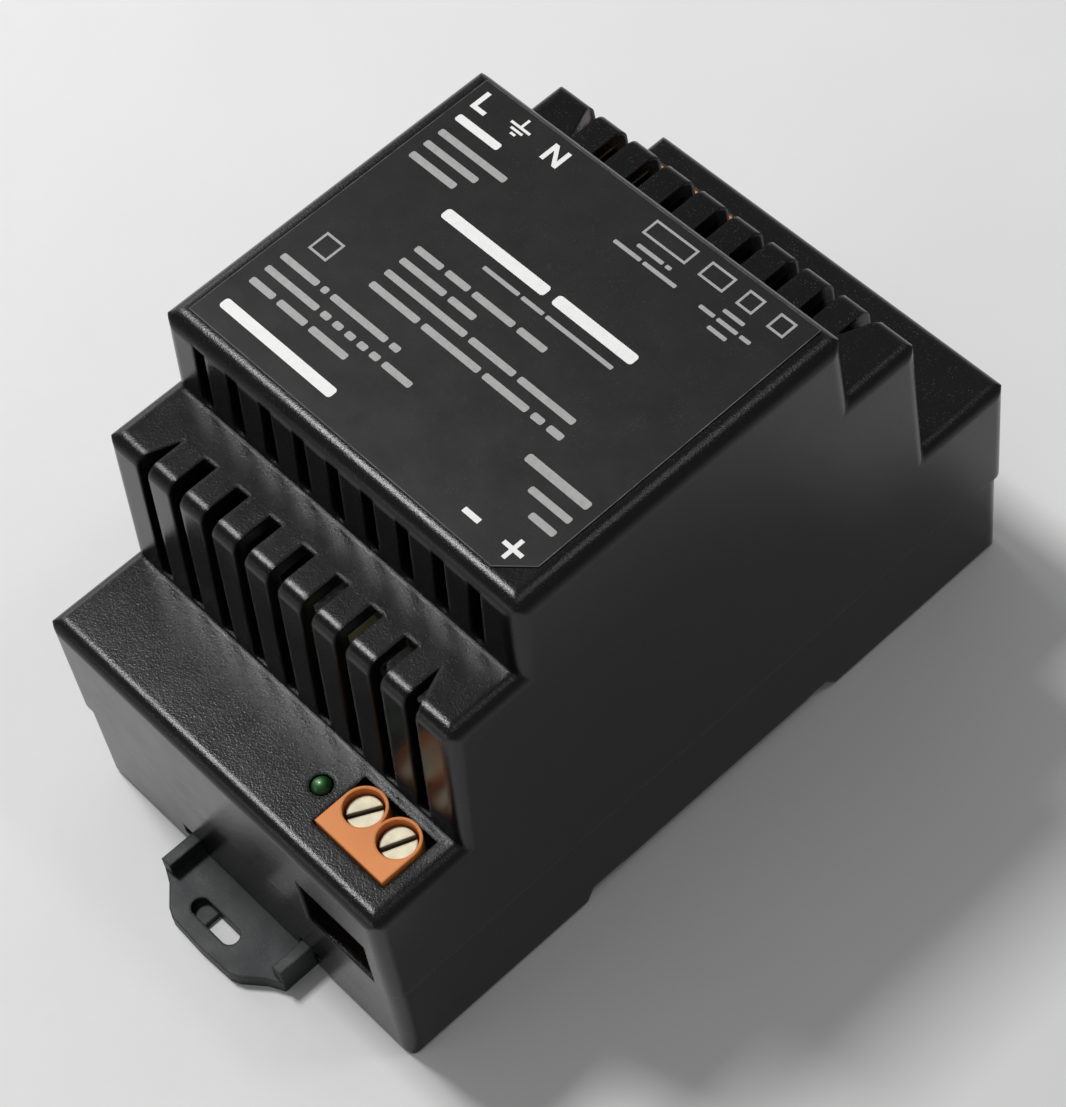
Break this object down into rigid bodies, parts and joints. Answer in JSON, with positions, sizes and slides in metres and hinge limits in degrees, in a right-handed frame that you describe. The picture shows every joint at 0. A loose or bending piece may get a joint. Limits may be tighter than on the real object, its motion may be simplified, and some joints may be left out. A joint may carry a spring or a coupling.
{
  "type": "din rail power supply",
  "caption": "Modular stepped power supply with a sprung rail latch, vented walls, orange screw terminals for input and output and a status lamp.",
  "frame": {"origin": "on the rail seat plane in the back, at the middle of the housing's width and length", "axes": "+Z away from the rail, out of the front; +Y towards the input terminals, up when mounted; +X along the rail"},
  "size_m": [0.0522, 0.0976, 0.0608],
  "materials": {
    "housing_plastic": "satin, fine moulded grain",
    "label_film": "matt printed film",
    "latch_plastic": "matt",
    "spring_steel": "drawn wire",
    "terminal_plastic": "semi-gloss",
    "screw_brass": "pale passivated plating",
    "tinned_copper": "tinned",
    "plated_steel": "zinc plated",
    "lamp_green": "tinted clear",
    "black_nylon": "matt",
    "board_laminate": "solder mask",
    "clear_sheet": "translucent film",
    "ferrite": "matt",
    "winding_tape": "polyester tape",
    "capacitor_sleeve": "shrink sleeve",
    "film_box": "moulded box",
    "film_box_yellow": "moulded box",
    "bare_aluminium": "mill finish",
    "component_epoxy": "moulded epoxy",
    "copper_wire": "enamelled copper",
    "disc_ceramic_blue": "dipped coating",
    "ring_core": "painted powder core"
  },
  "bodies": {
    "housing": {"housing_cover": "housing_plastic", "housing_base": "housing_plastic", "front_label": "label_film", "clip_spring": "spring_steel", "output_terminal_body": "terminal_plastic", "input_terminal_body": "terminal_plastic", "output_contacts": "tinned_copper", "input_contacts": "tinned_copper", "status_led": "lamp_green", "led_spacer": "black_nylon", "main_board": "board_laminate", "insulation_sheet": "clear_sheet", "board_screws": "plated_steel", "transformer_core": "ferrite", "transformer_bobbin": "black_nylon", "transformer_winding": "winding_tape", "bulk_capacitor": "capacitor_sleeve", "output_capacitor_a": "capacitor_sleeve", "output_capacitor_b": "capacitor_sleeve", "film_capacitor": "film_box", "primary_heatsink": "bare_aluminium", "switching_transistor": "component_epoxy", "secondary_heatsink": "bare_aluminium", "output_diode": "component_epoxy", "heatsink_screws": "plated_steel", "choke_core": "ferrite", "choke_windings": "copper_wire", "x_capacitor": "film_box_yellow", "y_capacitor": "disc_ceramic_blue", "input_fuse": "component_epoxy", "varistor": "disc_ceramic_blue", "bridge_rectifier": "component_epoxy", "control_ic": "component_epoxy", "optocoupler": "component_epoxy", "inductor_core": "ring_core", "inductor_winding": "copper_wire"},
    "rail_latch": {"din_clip": "latch_plastic"},
    "output_screw_minus": {"output_screw_minus": "screw_brass"},
    "output_cage_minus": {"output_cage_minus": "plated_steel"},
    "output_screw_plus": {"output_screw_plus": "screw_brass"},
    "output_cage_plus": {"output_cage_plus": "plated_steel"},
    "input_screw_line": {"input_screw_line": "screw_brass"},
    "input_cage_line": {"input_cage_line": "plated_steel"},
    "input_screw_earth": {"input_screw_earth": "screw_brass"},
    "input_cage_earth": {"input_cage_earth": "plated_steel"},
    "input_screw_neutral": {"input_screw_neutral": "screw_brass"},
    "input_cage_neutral": {"input_cage_neutral": "plated_steel"}
  },
  "joints": [
    {"name": "latch_slide", "type": "slide", "parent": "housing", "child": "rail_latch", "axis": [0, -1, 0], "range_m": [0, 0.004], "stiffness_N_per_m": 900, "springref_m": -0.001, "deforming": ["clip_spring"]},
    {"name": "output_screw_minus_turn", "type": "hinge", "parent": "housing", "child": "output_screw_minus", "pos_m": [0.01541, -0.0367, 0.026], "axis": [0, 0, 1], "range_deg": [-2200, 0]},
    {"name": "output_cage_minus_rise", "type": "slide", "parent": "housing", "child": "output_cage_minus", "axis": [0, 0, 1], "range_m": [0, 0.003]},
    {"name": "output_screw_plus_turn", "type": "hinge", "parent": "housing", "child": "output_screw_plus", "pos_m": [0.02049, -0.0367, 0.026], "axis": [0, 0, 1], "range_deg": [-2200, 0]},
    {"name": "output_cage_plus_rise", "type": "slide", "parent": "housing", "child": "output_cage_plus", "axis": [0, 0, 1], "range_m": [0, 0.003]},
    {"name": "input_screw_line_turn", "type": "hinge", "parent": "housing", "child": "input_screw_line", "pos_m": [-0.02058, 0.0367, 0.026], "axis": [0, 0, 1], "range_deg": [-2200, 0]},
    {"name": "input_cage_line_rise", "type": "slide", "parent": "housing", "child": "input_cage_line", "axis": [0, 0, 1], "range_m": [0, 0.003]},
    {"name": "input_screw_earth_turn", "type": "hinge", "parent": "housing", "child": "input_screw_earth", "pos_m": [-0.0155, 0.0367, 0.026], "axis": [0, 0, 1], "range_deg": [-2200, 0]},
    {"name": "input_cage_earth_rise", "type": "slide", "parent": "housing", "child": "input_cage_earth", "axis": [0, 0, 1], "range_m": [0, 0.003]},
    {"name": "input_screw_neutral_turn", "type": "hinge", "parent": "housing", "child": "input_screw_neutral", "pos_m": [-0.01042, 0.0367, 0.026], "axis": [0, 0, 1], "range_deg": [-2200, 0]},
    {"name": "input_cage_neutral_rise", "type": "slide", "parent": "housing", "child": "input_cage_neutral", "axis": [0, 0, 1], "range_m": [0, 0.003]}
  ],
  "couplings": [
    {"joint": "output_screw_minus_turn", "follows": "output_cage_minus_rise", "rad_per_m": -12566},
    {"joint": "output_screw_plus_turn", "follows": "output_cage_plus_rise", "rad_per_m": -12566},
    {"joint": "input_screw_line_turn", "follows": "input_cage_line_rise", "rad_per_m": -12566},
    {"joint": "input_screw_earth_turn", "follows": "input_cage_earth_rise", "rad_per_m": -12566},
    {"joint": "input_screw_neutral_turn", "follows": "input_cage_neutral_rise", "rad_per_m": -12566}
  ]
}
